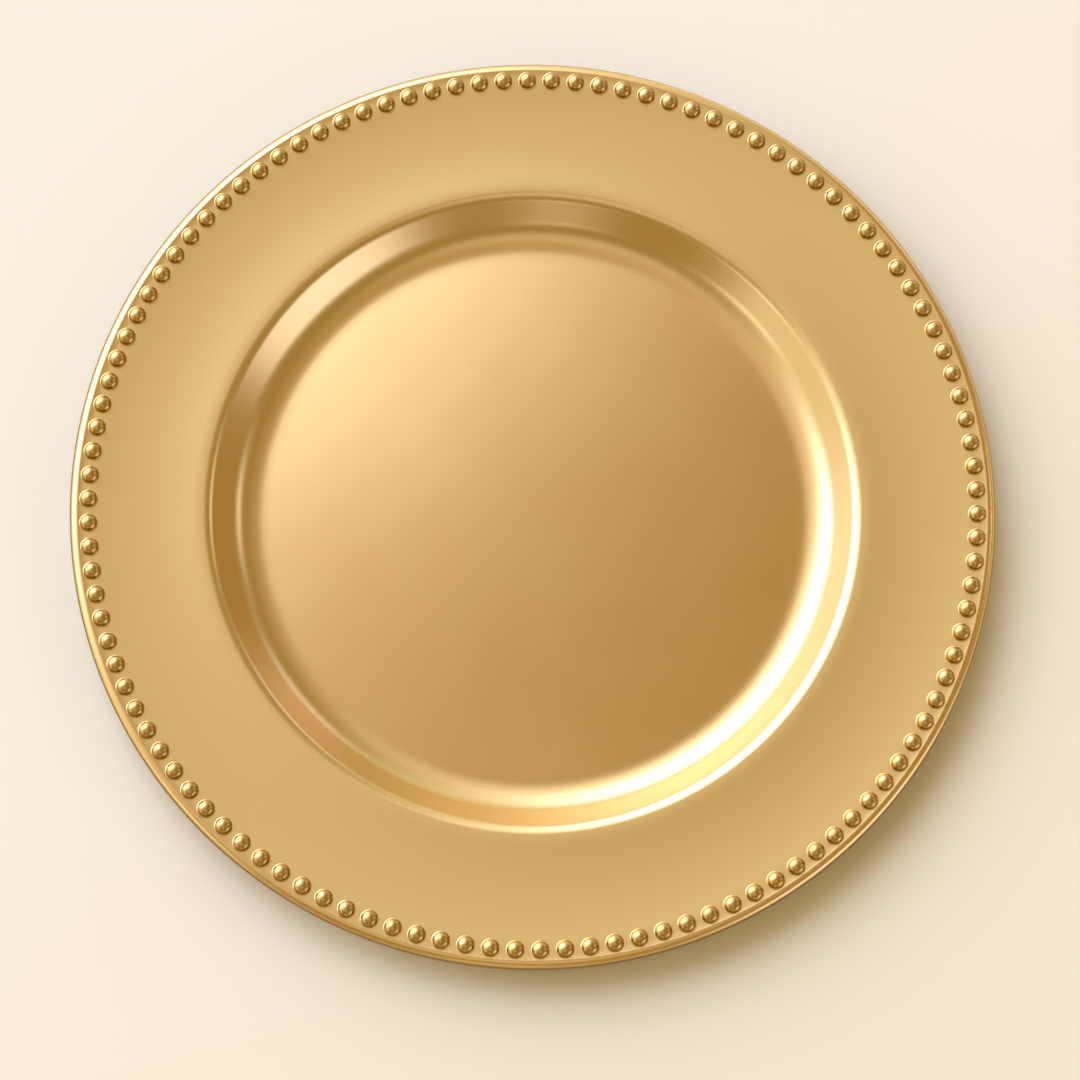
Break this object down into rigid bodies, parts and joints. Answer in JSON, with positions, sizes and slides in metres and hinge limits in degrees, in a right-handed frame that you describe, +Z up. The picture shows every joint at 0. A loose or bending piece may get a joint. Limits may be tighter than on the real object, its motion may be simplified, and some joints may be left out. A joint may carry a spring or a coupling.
{
  "type": "charger plate",
  "caption": "Round gold charger plate with a shallow flat-floored well, a broad plain rim, a ring of round beads and a rolled edge.",
  "frame": {"origin": "centre of the plate, on the level of the surface that the foot pads stand on", "axes": "+Z up along the plate's axis; +X and +Y lie in the table's plane, with the pads halfway between them"},
  "size_m": [0.33, 0.33, 0.0188],
  "materials": {
    "satin_gold": "satin, fine even grain",
    "steel_wire": "drawn wire",
    "polished_gold": "polished",
    "foot_gold": "satin, turned",
    "pad_rubber": "matte"
  },
  "bodies": {
    "root": {"plate_shell": "satin_gold", "edge_wire": "steel_wire", "rim_beads": "polished_gold", "foot_ring": "foot_gold", "foot_pad_1": "pad_rubber", "foot_pad_2": "pad_rubber", "foot_pad_3": "pad_rubber", "foot_pad_4": "pad_rubber"}
  },
  "joints": []
}
